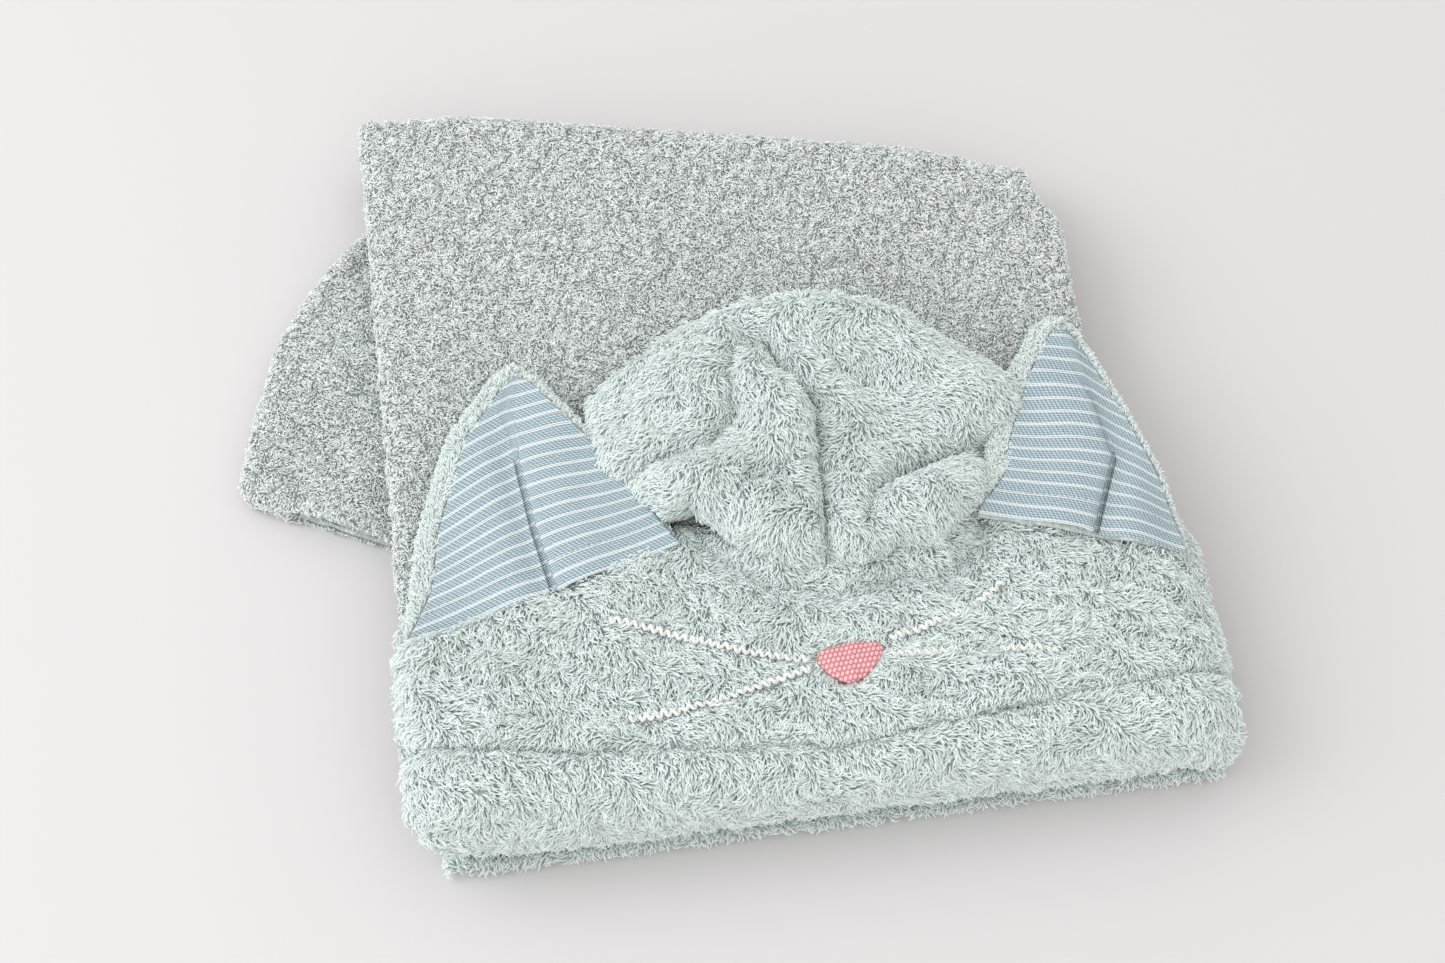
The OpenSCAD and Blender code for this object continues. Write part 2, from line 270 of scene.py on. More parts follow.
# ---------------------------------------------------------------- materials
class Look:
    """A new material: its shader, and short ways to add nodes to it."""

    def __init__(self, name, roughness, specular=0.5):
        self.mat = bpy.data.materials.new(name)
        self.mat.use_nodes = True
        tree = self.mat.node_tree
        self.new = tree.nodes.new
        self.link = tree.links.new
        self.bsdf = tree.nodes["Principled BSDF"]
        self.surface = tree.nodes["Material Output"].inputs["Surface"]
        self.bsdf.inputs["Roughness"].default_value = roughness
        self.bsdf.inputs["Specular IOR Level"].default_value = specular

    def maths(self, operation, *values):
        node = self.new("ShaderNodeMath")
        node.operation = operation
        for socket, value in zip(node.inputs, values):
            if isinstance(value, (int, float)):
                socket.default_value = value
            else:
                self.link(value, socket)
        return node.outputs[0]

    def noise(self, vector, scale, detail=2.0, roughness=0.5, output=0):
        node = self.new("ShaderNodeTexNoise")
        node.inputs["Scale"].default_value = scale
        node.inputs["Detail"].default_value = detail
        node.inputs["Roughness"].default_value = roughness
        self.link(vector, node.inputs["Vector"])
        return node.outputs[output]

    def ramp(self, value, *stops):
        node = self.new("ShaderNodeValToRGB")
        elements = node.color_ramp.elements
        while len(elements) < len(stops):
            elements.new(0.5)
        for element, (position, colour) in zip(elements, stops):
            element.position = position
            element.color = (*colour, 1)
        self.link(value, node.inputs[0])
        return node.outputs[0]

    def spread(self, value, from_range, to_range):
        node = self.new("ShaderNodeMapRange")
        node.inputs["From Min"].default_value, node.inputs["From Max"].default_value = from_range
        node.inputs["To Min"].default_value, node.inputs["To Max"].default_value = to_range
        self.link(value, node.inputs["Value"])
        return node.outputs[0]

    def cloth_uv(self):
        """The cloth's own coordinates, in metres: both together, then along and up."""
        uv = self.new("ShaderNodeUVMap")
        uv.uv_map = "cloth"
        split = self.new("ShaderNodeSeparateXYZ")
        self.link(uv.outputs[0], split.inputs[0])
        return uv.outputs[0], split.outputs[0], split.outputs[1]

    def colour(self, value):
        self.link(value, self.bsdf.inputs["Base Color"])

    def bump(self, height, strength, distance):
        node = self.new("ShaderNodeBump")
        node.inputs["Strength"].default_value = strength
        node.inputs["Distance"].default_value = distance
        self.link(height, node.inputs["Height"])
        self.link(node.outputs[0], self.bsdf.inputs["Normal"])


# dark, middle and light tones of the terry; the dark tone is painted shade in the gaps between the loops
TOWEL_SHADES = ((0.25, 0.285, 0.275), (0.46, 0.51, 0.50), (0.72, 0.78, 0.765))
HOOD_SHADES = ((0.33, 0.37, 0.36), (0.50, 0.555, 0.54), (0.70, 0.76, 0.745))


def terry_material(name, scale, stretch, shades):
    """Terry seen without its separate strands: short streaks of light loops over deep shade."""
    look = Look(name, 0.92, 0.2)
    place = look.new("ShaderNodeTexCoord").outputs["Object"]
    warp = look.new("ShaderNodeVectorMath")
    warp.operation = "MULTIPLY_ADD"
    warp.inputs[1].default_value = (0.008, 0.008, 0.008)
    look.link(look.noise(place, 90, output="Color"), warp.inputs[0])
    look.link(place, warp.inputs[2])
    mapped = look.new("ShaderNodeMapping")
    mapped.inputs["Scale"].default_value = (1.0, stretch, 1.0)
    look.link(warp.outputs[0], mapped.inputs["Vector"])
    fine = look.noise(mapped.outputs[0], scale, 4, 0.65)
    clump = look.noise(mapped.outputs[0], scale / 4.5)
    loops = look.maths("MULTIPLY_ADD", fine, 0.62, look.maths("MULTIPLY", clump, 0.38))
    look.colour(look.ramp(loops, *zip((0.36, 0.52, 0.68), shades)))
    look.bump(loops, 0.9, 0.0009)
    look.bsdf.inputs["Sheen Weight"].default_value = 0.15
    return look.mat


def pile_material(name, root, tip, variety, through_share):
    """Strands, dark at the root with painted shade and light at the tip, that let some light through."""
    look = Look(name, 0.9, 0.12)
    info = look.new("ShaderNodeHairInfo")
    hsv = look.new("ShaderNodeHueSaturation")
    brightness = look.spread(info.outputs["Random"], (0, 1), (1 - variety, 1 + variety * 0.8))
    look.link(brightness, hsv.inputs["Value"])
    look.link(look.ramp(info.outputs["Intercept"], (0.0, root), (0.78, tip)), hsv.inputs["Color"])
    look.colour(hsv.outputs[0])
    through = look.new("ShaderNodeBsdfTranslucent")
    look.link(hsv.outputs[0], through.inputs["Color"])
    mix = look.new("ShaderNodeMixShader")
    mix.inputs[0].default_value = through_share
    look.link(look.bsdf.outputs[0], mix.inputs[1])
    look.link(through.outputs[0], mix.inputs[2])
    look.link(mix.outputs[0], look.surface)
    return look.mat


def lining_material():
    """Blue-grey cotton with a diagonal weave and white pinstripes in pairs, which run along the base."""
    look = Look("striped_cotton", 0.85, 0.25)
    maths = look.maths
    stripe_pitch, thread_pitch, float_length = 0.0070, 0.00125, 0.0019
    uv, u, flat_v = look.cloth_uv()
    v = maths("MULTIPLY_ADD", look.noise(uv, 60), 0.0009, flat_v)
    phase = maths("FRACT", maths("DIVIDE", v, stripe_pitch))
    from_middle = maths("ABSOLUTE", maths("SUBTRACT", phase, 0.5))
    from_line = maths("ABSOLUTE", maths("SUBTRACT", from_middle, 0.062))
    dashes = maths("MULTIPLY_ADD", maths("SINE", maths("MULTIPLY", u, 2 * math.pi / 0.0011)), 0.12, 0.85)
    stripe = maths("MULTIPLY", look.spread(from_line, (0.024, 0.05), (1, 0)), dashes)
    row = maths("DIVIDE", v, thread_pitch)
    row_share, row_number = maths("FRACT", row), maths("FLOOR", row)
    slant = maths("MULTIPLY_ADD", row_share, 0.55, maths("MULTIPLY", row_number, 0.37))
    cell = maths("FRACT", maths("ADD", maths("DIVIDE", u, float_length), slant))
    weave = maths("MULTIPLY", maths("SINE", maths("MULTIPLY", cell, math.pi)),
                  maths("SINE", maths("MULTIPLY", row_share, math.pi)))
    shade = maths("MULTIPLY_ADD", look.noise(uv, 900), 0.5, maths("MULTIPLY", weave, 0.62))
    blue = look.ramp(shade, (0.2, (0.13, 0.19, 0.22)), (0.5, (0.295, 0.385, 0.42)),
                     (0.85, (0.54, 0.62, 0.65)))
    mix = look.new("ShaderNodeMix")
    mix.data_type = "RGBA"
    look.link(stripe, mix.inputs[0])
    look.link(blue, mix.inputs[6])
    mix.inputs[7].default_value = (0.76, 0.785, 0.785, 1)
    look.colour(mix.outputs[2])
    look.bump(maths("ADD", weave, maths("MULTIPLY", stripe, 0.6)), 0.55, 0.0003)
    return look.mat


def thread_material(name, colour, dark):
    """Twisted thread, with painted shade in the grooves of its twist."""
    look = Look(name, 0.55)
    wave = look.new("ShaderNodeTexWave")
    wave.wave_type = "BANDS"
    wave.bands_direction = "DIAGONAL"
    wave.inputs["Scale"].default_value = 414
    wave.inputs["Distortion"].default_value = 1.5
    look.link(look.new("ShaderNodeTexCoord").outputs["Object"], wave.inputs["Vector"])
    # the bands darken from the thread's colour to dark: painted shade in the grooves
    look.colour(look.ramp(wave.outputs[0], (0.05, dark), (0.6, colour)))
    look.bump(wave.outputs[0], 0.5, 0.0002)
    return look.mat


def nose_material():
    """Pink filling stitch: slanted rows of short stitches, with painted shade in the gaps between them,
    darkest at the needle points.
    """
    look = Look("pink_thread", 0.42)
    maths = look.maths
    row_pitch, stitch_length, thread_pitch = 0.0019, 0.0027, 0.0007
    _, u, v = look.cloth_uv()
    row = maths("DIVIDE", v, row_pitch)
    shift = maths("MULTIPLY", maths("FLOOR", row), 0.37)
    cell = maths("FRACT", maths("ADD", maths("DIVIDE", u, stitch_length), shift))
    stitch = maths("POWER", maths("SINE", maths("MULTIPLY", cell, math.pi)), 0.45)
    across = maths("POWER", maths("SINE", maths("MULTIPLY", maths("FRACT", row), math.pi)), 0.4)
    strand = maths("SINE", maths("MULTIPLY", maths("ADD", u, v), 2 * math.pi / thread_pitch))
    height = maths("MULTIPLY", maths("MULTIPLY", stitch, across), maths("MULTIPLY_ADD", strand, 0.08, 0.92))
    # the colour darkens as the stitches sink: painted shade in the gaps
    look.colour(look.ramp(height, (0.0, (0.30, 0.07, 0.085)), (0.5, (0.56, 0.22, 0.24)),
                          (0.92, (0.79, 0.46, 0.47))))
    look.bump(height, 0.6, 0.0004)
    return look.mat


terry = terry_material("towel_terry", 720, 0.55, TOWEL_SHADES)
plush = terry_material("hood_terry", 520, 0.30, HOOD_SHADES)
cotton = lining_material()
# the second colour of each thread is painted shade in its twist
white_thread = thread_material("white_thread", (0.82, 0.825, 0.79), (0.56, 0.58, 0.56))
seam_thread = thread_material("seam_thread", (0.42, 0.50, 0.48), (0.18, 0.24, 0.24))
pink_thread = nose_material()
# the first colour of each pile is its root, darkened as painted shade among the strands
short_pile = pile_material("short_pile", (0.21, 0.23, 0.225), (0.84, 0.885, 0.87), 0.22, 0.2)
long_pile = pile_material("long_pile", (0.56, 0.61, 0.60), (0.83, 0.895, 0.88), 0.10, 0.32)


# ---------------------------------------------------------------- pile
def face_triangles(mesh):
    """Corner positions and normals of a mesh, its triangles and the face that each belongs to."""
    co = np.zeros(len(mesh.vertices) * 3, np.float32)
    mesh.vertices.foreach_get("co", co)
    normals = np.zeros(len(mesh.vertices) * 3, np.float32)
    mesh.vertex_normals.foreach_get("vector", normals)
    if not len(mesh.loop_triangles):
        mesh.calc_loop_triangles()
    count = len(mesh.loop_triangles)
    tri = np.zeros(count * 3, np.int32)
    mesh.loop_triangles.foreach_get("vertices", tri)
    face = np.zeros(count, np.int32)
    mesh.loop_triangles.foreach_get("polygon_index", face)
    corners, normals = co.reshape(-1, 3).astype(float) / MM, normals.reshape(-1, 3).astype(float)
    return corners, normals, tri.reshape(-1, 3), face


def pile(name, obj, body, pitch, length, lean, radius, material, flow, keep=None, seed=1, jitter=0.5,
         swirl=(1.0, 0.8), trim=None, flow_size=(18, 6), bend=0.35, inner=0.0):
    """Strands rooted all over the faces of obj: keep and trim give each place's share of strands and of
    length, flow the way they lie, and inner the share on the sheet's inner side."""
    co, vertex_normals, tri, face = face_triangles(obj.data)
    a, b, c = co[tri[:, 0]], co[tri[:, 1]], co[tri[:, 2]]
    cross = np.cross(b - a, c - a)
    face_normals = norm(cross)
    outer = face < obj["outer_faces"]
    area = np.linalg.norm(cross, axis=1) / 2 * (outer + (1 - outer) * inner)
    if keep is not None:
        area = area * keep((a + b + c) / 3, face_normals)
    rng = np.random.default_rng(seed)
    want = area / pitch ** 2
    n = np.floor(want + rng.random(len(want))).astype(int)
    pick = np.repeat(np.arange(len(n)), n)
    total = len(pick)
    k = np.arange(total)
    r1 = (k * 0.7548776662 + rng.random()) % 1
    r2 = (k * 0.5698402909 + rng.random()) % 1
    r1, r2 = (r1 + 0.15 * rng.random(total)) % 1, (r2 + 0.15 * rng.random(total)) % 1
    s = np.sqrt(r1)
    share = np.stack([1 - s, s * (1 - r2), s * r2], axis=1)[..., None]
    corners = tri[pick]
    root = (co[corners] * share).sum(1)
    nrm = norm((vertex_normals[corners] * share).sum(1) + 0.25 * face_normals[pick])
    way = flow(root, nrm)
    way = norm(way - (way * nrm).sum(1, keepdims=True) * nrm)
    side = np.cross(nrm, way)
    turn = swirl[0] * waves(seed + 50, flow_size[0])(root) + swirl[1] * waves(seed + 51, flow_size[1])(root)
    turn = turn + rng.normal(0, jitter, total)
    strand = length * (0.75 + 0.5 * rng.random(total))
    if trim is not None:
        strand = strand * trim(root)
    lean = np.clip(lean + rng.normal(0, 0.2, total), 0.1, 1.45)
    points = np.zeros((total, 4, 3))
    points[:, 0] = root - nrm * 0.3
    tilt = lean * 0.3
    for j in range(1, 4):
        flat = way * np.cos(turn)[:, None] + side * np.sin(turn)[:, None]
        step = flat * np.sin(tilt)[:, None] + nrm * np.cos(tilt)[:, None]
        points[:, j] = points[:, j - 1] + step * (strand / 3)[:, None]
        tilt = tilt + lean * 0.6
        turn = turn + rng.normal(0, bend, total)
    points[:, :, 2] = np.maximum(points[:, :, 2], 0.4)
    data = bpy.data.hair_curves.new(name)
    data.add_curves([4] * total)
    data.attributes["position"].data.foreach_set("vector", (points * MM).astype(np.float32).ravel())
    widths = data.attributes.get("radius") or data.attributes.new("radius", "FLOAT", "POINT")
    profile = np.array([1, 1, 0.9, 0.55]) * radius * MM
    widths.data.foreach_set("value", np.tile(profile, total).astype(np.float32))
    data.materials.append(material)
    hair = bpy.data.objects.new(name, data)
    bpy.context.scene.collection.objects.link(hair)
    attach(hair, body)


# ---------------------------------------------------------------- the folded towel
def ply_profile(left, right, step_top, step_low):
    """A folded layer seen end on, from its lower right edge round the fold to its upper right edge."""
    run = right - left - HALF
    lower = [(right - d, -HALF) for d in steps(run + 3, step_low, 3.0)[:-4]]
    turn = [(left + HALF - HALF * math.cos(t), HALF * math.sin(t)) for t in np.linspace(-1.2, 1.2, 7)]
    upper = [(left + HALF + d, HALF) for d in (run - steps(run + 3, step_top, 3.0)[:-4])[::-1]]
    lower = [q for q in lower if q[0] > left + HALF + 0.5]
    upper = [q for q in upper if q[0] > left + HALF + 0.5]
    return lower + turn + upper


def ply(name, profile, rows, place):
    """A folded panel: place puts each point of its section, at each row, into space."""
    grid = [[place(u, v, n) for v in rows] for u, n in profile]
    return shell(name, grid, LAYER - 0.8, terry)


ripple = waves(21, 95, 6)
small_ripple = waves(22, 42, 6)
flat_len = fold_start(LEFT) - FRONT


def top_sag(x, y):
    p = np.array([x, y, 0.0])
    free = smooth(18, 45, y)  # the hood presses the front of the panel flat
    return float((0.9 * ripple(p) + 0.45 * small_ripple(p)) * (0.25 + 0.75 * free) - 0.5)


def place_top(u, v, n):
    """u runs across; v is 0 at the front, 1 where the back fold begins and 2 where it ends; n is the height
    above the ply's middle."""
    share = (u - LEFT) / (RIGHT - LEFT)
    start = fold_start(u)
    gap = 0
    if v <= 1:
        y = FRONT + 1.5 + v * (start - FRONT - 1.5)
        gap = max(start - y, 0.0)
        lift = top_sag(u, y) if n > 0 else 0.3 * top_sag(u, y) - 0.3
        z = TOP - LAYER - 0.15 + n + lift * (0.4 + 0.6 * smooth(0, 30, gap))
    else:
        turn = (v - 1) * math.pi
        radius = LOOP - LAYER - 0.15 + n
        y = start + radius / math.cos(FOLD_ANGLE) * math.sin(turn)
        z = LOOP + radius * math.cos(turn)
    # the back fold stands proud between its two ends
    proud = smooth(0, 0.18, share) * smooth(1.0, 0.8, share) * smooth(60, 0, gap) * smooth(4, 24, z)
    z += 4.0 * proud
    y += 5.0 * proud
    # the right edge bulges softly and draws in where it rounds into the back fold
    bulge = 3.4 * hump(y - 88, 34) - 0.9 * smooth(-20, -120, y) - 8.0 * smooth(26, 0, gap)
    x = u + bulge * share ** 5
    # the front left corner draws in a little
    x += (1 - share) ** 8 * 4.0 * smooth(-150, -189, y)
    return x, y, z


def top_rows():
    rows = np.r_[steps(flat_len, FINE, 3.0)[:-5] / flat_len, np.linspace(1, 1.98, 26)]
    return np.r_[np.unique(np.clip(rows, 0, 2)), 1.987, 1.993, 1.998, 2.0]


towel_top = ply("towel_top", ply_profile(LEFT + 3.1, RIGHT - 0.5, FINE, COARSE), top_rows(), place_top)
stand_in(towel_top, "towel_terry", "top_panel_lower", "top_panel_upper", "top_panel_side_fold",
         "back_fold_upper", "back_fold_lower")


def place_mid(u, v, n):
    y = FRONT + 3 + v * (fold_start(u) - 6 - FRONT)
    p = np.array([u, y, 60.0])
    z = mid_lo[2] + LAYER - 0.05 + n + float(0.35 * ripple(p) * (1 if n > 0 else 0.3))
    x = u + ((u - LEFT) / (RIGHT - LEFT)) ** 6 * float(2.2 * small_ripple(p))
    return x, y, z


mid_profile = ply_profile(mid_fold_lo[0] + 3.1, mid_hi[0] - 1, FINE * 1.3, COARSE * 1.6)
mid_rows = steps(flat_len - 6, FINE * 1.3, 3.0) / (flat_len - 6)
towel_middle = ply("towel_middle", mid_profile, mid_rows, place_mid)
stand_in(towel_middle, "towel_terry", "middle_panel_lower", "middle_panel_upper", "middle_panel_side_fold")

# The end panel's rows run parallel to its hem, which crosses the bundle at a slant.
HEM_START, HEM_END = np.array([-146.0, -39.0]), np.array([134.0, -189.0])
hem_way = norm((HEM_END - HEM_START)[None])[0]
hem_out = np.array([-hem_way[1], hem_way[0]])
flap = np.array([(-122, 183), (-150, 147), (-169, 126), (-184, 106), (-196, 86), (-207, 50), (-214, 22),
                 (-218, 3), (-214, -8), (-205, -13), (-183, -19.5)], float)
flap_u, flap_v = (flap - HEM_START) @ hem_way, (flap - HEM_START) @ hem_out
flap_order = np.argsort(flap_v)
puff = waves(31, 60, 6)


def end_left(v):
    return float(np.interp(v, flap_v[flap_order], flap_u[flap_order]))


def end_right(v):
    """Where a row meets the right, back or front side of the bundle."""
    start = HEM_START + v * hem_out
    side = (end_hi[0] - 1 - start[0]) / hem_way[0]
    back = (fold_start(start[0]) - start[1]) / (hem_way[1] + math.tan(FOLD_ANGLE) * hem_way[0])
    front = (FRONT + 2 - start[1]) / hem_way[1]
    return min(side, back if back > 0 else side, front)


def place_end(section, share, sign, v):
    """section is flat or turn: share of the way across a flat layer, or the angle round the side fold."""
    left, right = end_left(v) + HALF + 2.6, end_right(v)
    if section == "flat":
        u = left + share * (right - left)
        n = sign * HALF
    else:
        u = left - HALF * math.cos(share)
        n = HALF * math.sin(share)
    x, y = HEM_START + u * hem_way + v * hem_out
    z = HALF + LAYER / 2 - 0.1 + n
    if n > 0:
        # the flap isn't pressed by the stack, so its upper layer stands a little higher
        free = smooth(-132, -165, x)
        z += free * (2.2 + 1.3 * float(puff(np.array([x, y, 0.0])))) * n / HALF
    return x, y, max(z, 2.4)


def end_grid():
    rows = steps(float(flap_v.max()) - 7, FINE * 1.15, 3.0) + 1.0
    lower = np.r_[1, 0.997, 0.99, np.linspace(0.98, 0.03, 46), 0.016]
    upper = np.r_[0.016, np.linspace(0.03, 0.98, 130), 0.99, 0.997, 1]
    section = [("flat", share, -1) for share in lower]
    section += [("turn", angle, 0) for angle in np.linspace(-1.35, 1.35, 8)]
    section += [("flat", share, 1) for share in upper]
    return [[place_end(*part, v) for v in rows] for part in section]


towel_end = shell("towel_end", end_grid(), LAYER - 0.9, terry)
stand_in(towel_end, "towel_terry", "end_panel_lower", "end_panel_upper", "end_panel_side_fold",
         "end_panel_hem")

# ---------------------------------------------------------------- the hood's face panel and turned front hem
FACE_TOP = face_hi[2]
HOOD_LEFT, HOOD_RIGHT = face_lo[0], face_hi[0]
HOOD_FRONT = brim_lo[1]
FACE_T = 8.2
BRIM_R = 24.0
BRIM_MID_R = BRIM_R - FACE_T / 2
FLAT_FROM = HOOD_FRONT + BRIM_R  # where the face panel's flat top begins
BRIM_DROP = FACE_TOP - BRIM_R - brim_lo[2]
BRIM_ARC = BRIM_MID_R * math.pi / 2
FULL_DROP = FACE_TOP - FACE_T / 2 - brim_lo[2]
seam_x, seam_y = np.array([(HOOD_LEFT, -124), (-16, -91), (122, -101), (HOOD_RIGHT, -119)]).T
stitch_x, stitch_y = np.array([(-150, -169), (-142, -170), (-82, -180), (-21, -187), (35, -193), (66, -192),
                               (104, -187), (157, -182), (218, -175), (224, -174)], float).T
crown_front = [(-24, -76), (-12, -74), (2, -92), (18, -110), (47, -121), (80, -114), (102, -118), (116, -101),
               (128, -76)]
lump = waves(41, 70, 6)
small_lump = waves(42, 30, 7)


def seam_at(x):
    return np.interp(x, seam_x, seam_y)


def along_front(y):
    """Distance along the face panel, from where its flat top begins, of a point seen from above."""
    over = np.clip((FLAT_FROM - y) / BRIM_R, 0, 0.995)
    return np.where(y >= FLAT_FROM, y - FLAT_FROM, -BRIM_MID_R * np.arcsin(over))


def brim_section(s):
    """Depth and drop at s along the face panel; s is negative over the brim."""
    if s >= 0:
        return FLAT_FROM + s, 0.0
    if s > -BRIM_ARC:
        turn = -s / BRIM_MID_R
        return FLAT_FROM - BRIM_MID_R * math.sin(turn), BRIM_MID_R * (1 - math.cos(turn))
    return HOOD_FRONT + FACE_T / 2, BRIM_MID_R - s - BRIM_ARC


def hood_point(x, s):
    from_left, from_right = x - HOOD_LEFT, HOOD_RIGHT - x
    y, drop = brim_section(s)
    share = drop / FULL_DROP
    side = 13 * rounding(from_left, 15) + 21 * rounding(from_right, 30) + 6.5 * smooth(90, 0, from_right)
    z = FACE_TOP - FACE_T / 2 - FULL_DROP * (1 - (1 - min(side, FULL_DROP) / FULL_DROP) * (1 - min(share, 1)))
    place = np.array([x, y, 0.0])
    z += (0.9 * float(lump(place)) + 0.5 * float(small_lump(place))) * (1 - share)
    # the stitch line pulls the cloth in, and the hem's roll below it swells
    from_stitches = s - float(along_front(np.interp(x, stitch_x, stitch_y)))
    pull = hump(from_stitches, 3.4)
    z -= 3.8 * pull * (1 - 0.35 * share)
    y += 1.6 * pull * share
    y -= 1.6 * hump(from_stitches + 15, 11)
    z += 0.8 * hump(from_stitches - 14, 12)
    # the brim's lower edge curls back over the under panel's foot
    y += (4.5 + 4 * math.exp(-from_right / 60)) * smooth(0.7, 1, share)
    # a valley runs down from the crown, past the nose
    from_valley = x - 74 + 0.12 * (y + 110)
    z -= 2.0 * hump(from_valley, 8) * smooth(-200, -165, y) * smooth(-96, -120, y)
    # the face sinks along the crown's front
    if s >= 0:
        z -= 6.0 * hump(float(line_dist(x, y, crown_front)), 8)
    # the corners draw in at the front
    low = share ** 1.4
    out_x = x + (5 + 27 * low) * math.exp(-from_left / 32) - (6 + 5 * low) * math.exp(-from_right / 30)
    out_y = y + low * (5.0 * math.exp(-from_left / 30) + 3.5 * math.exp(-from_right / 25))
    return out_x, out_y, max(z + 1.2 * math.sin(x / 38.0) * low, 9.0)


def hood_column(x):
    """From the brim's lower edge up and back to the seam, which tongues carry on beside the crown."""
    low = steps(BRIM_DROP + BRIM_ARC + 200, FINE, 3.0)[:-4]
    low = low[low < BRIM_DROP + BRIM_ARC] - BRIM_DROP - BRIM_ARC
    tongue = 16 * hump(x + 16, 24) + 13 * hump(x - 122, 18)
    depth = seam_at(x) + 3.5 + tongue - FLAT_FROM
    flat = np.r_[np.linspace(0, 0.96, round(84 / FINE)), 0.975, 0.988, 0.996, 1.0] * depth
    return [hood_point(x, s) for s in (*low, *flat)]


hood_grid = [hood_column(HOOD_LEFT + across) for across in steps(HOOD_RIGHT - HOOD_LEFT, FINE, 3.0)]
hood_face = shell("hood_face", hood_grid, FACE_T - 1.0, plush, edge=3.5, tuft=0.9)
stand_in(hood_face, "hood_terry", "hood_face_panel", "hood_front_hem")

# ---------------------------------------------------------------- the hood's under panel
outline_x, outline_y = np.array([(HOOD_LEFT + 1, -112), (-132, -82), (-96, -42), (-52, -12), (-24, 8),
                                 (0, 20), (68, 20), (104, 8), (146, -18), (176, -40), (202, -70),
                                 (HOOD_RIGHT - 1, -112)], float).T
UNDER_T = 4.2


def under_path(x):
    """From the foot in front of the towel, up the bundle's front and back over the top panel."""
    from_left, from_right = x - HOOD_LEFT, HOOD_RIGHT - x
    foot = under_lo[1] - 1.0
    wall = FRONT - 2.7
    droop = 14 * rounding(from_right, 26)
    back = np.interp(x, outline_x, outline_y)
    section = [(foot + d, 3.4) for d in (0, 0.4, 1.4, 2.6, 5)]
    section += [(foot + 8, 3.5), (wall - 1.6, 4.2), (wall - 0.4, 6.0)]
    section += [(wall, z) for z in np.linspace(9, 36, 10)]
    section += [(wall + 0.6, 39.4), (wall + 2.2, 41.2)]
    flat = np.r_[np.linspace(wall + 5, back - 2.5, 44), back - 1.6, back - 0.8, back - 0.3, back]
    section += [(y, 41.5 - droop * smooth(-198, -190, y)) for y in flat]
    corners = 12 * math.exp(-from_left / 30) - 7 * math.exp(-from_right / 30)
    return [(x + corners * (1 if y < wall + 1 else smooth(80, 0, y - wall)), y, z) for y, z in section]


under_columns = steps(HOOD_RIGHT - HOOD_LEFT - 6, FINE * 1.4, 2.5) + HOOD_LEFT + 3
hood_under = shell("hood_under", [under_path(x) for x in under_columns], UNDER_T, plush, edge=2.5, tuft=0.35)
stand_in(hood_under, "hood_terry", "hood_under_panel")

# ---------------------------------------------------------------- the crown
CROWN = np.array([47.0, -38.0])
crown_outline = np.array([(-46, -20), (-44, -4), (-18, 11), (7, 22), (36, 28), (65, 28), (88, 21), (109, 7),
                          (131, -7), (150, -22), (151, -34), (134, -50), (125, -62), (126, -72), (113, -86),
                          (98, -99), (79, -97), (47, -103), (19, -93), (5, -79), (-8, -66), (-20, -68),
                          (-29, -58), (-41, -40)], float)
seam_valley = [(36, 6), (42, -10), (54, -30), (52, -56), (50, -84), (47, -120)]
right_crease = [(150, -50), (124, -52), (98, -62), (76, -76), (66, -92)]
left_crease = [(-50, -54), (-20, -46), (4, -44), (16, -30), (18, -8), (26, 16)]
middle_crease = [(6, -76), (22, -62), (40, -58)]
crown_lump = waves(61, 34, 8)
# height, centre, widths and turn of the lobes that the collapsed cloth stands up in
CROWN_LOBES = [(5, 66, 24, 46, 16, 0), (8, -2, -68, 22, 17, -0.5), (6.5, 27, -20, 11, 34, 0.25),
               (5.5, 22, -88, 18, 16, -0.6), (6, 102, -14, 22, 20, 0), (7, 42, -34, 9, 30, 0),
               (5, 122, -26, 22, 16, -0.4), (8.5, 96, -86, 30, 14, 0.15), (4, 60, -100, 13, 14, 0)]
# depth, width and line of its creases
CROWN_CREASES = [(10, 6.5, seam_valley), (9.5, 6.5, right_crease), (6.5, 7, left_crease),
                 (5, 6, middle_crease)]


def by_angle(points, centre):
    """An outline about a centre as angles and radii, repeated on both sides of one turn."""
    d = points - centre
    angle, radius = np.arctan2(d[:, 1], d[:, 0]), np.hypot(d[:, 0], d[:, 1])
    order = np.argsort(angle)
    angle, radius = angle[order], radius[order]
    return np.r_[angle - 2 * np.pi, angle, angle + 2 * np.pi], np.tile(radius, 3)


def crown_height(x, y):
    z = 69 + 7 * smooth(-100, 26, y) - 13 * smooth(8, -46, x) * smooth(-72, -22, y) - 3 * smooth(110, 150, x)
    z = z - 9.5 * smooth(52, 90, x) * smooth(-88, -60, y) * smooth(14, -8, y)
    for height, *lobe in CROWN_LOBES:
        z = z + height * mound(x, y, *lobe)
    for depth, width, line in CROWN_CREASES:
        z = z - depth * hump(line_dist(x, y, line), width)
    return z


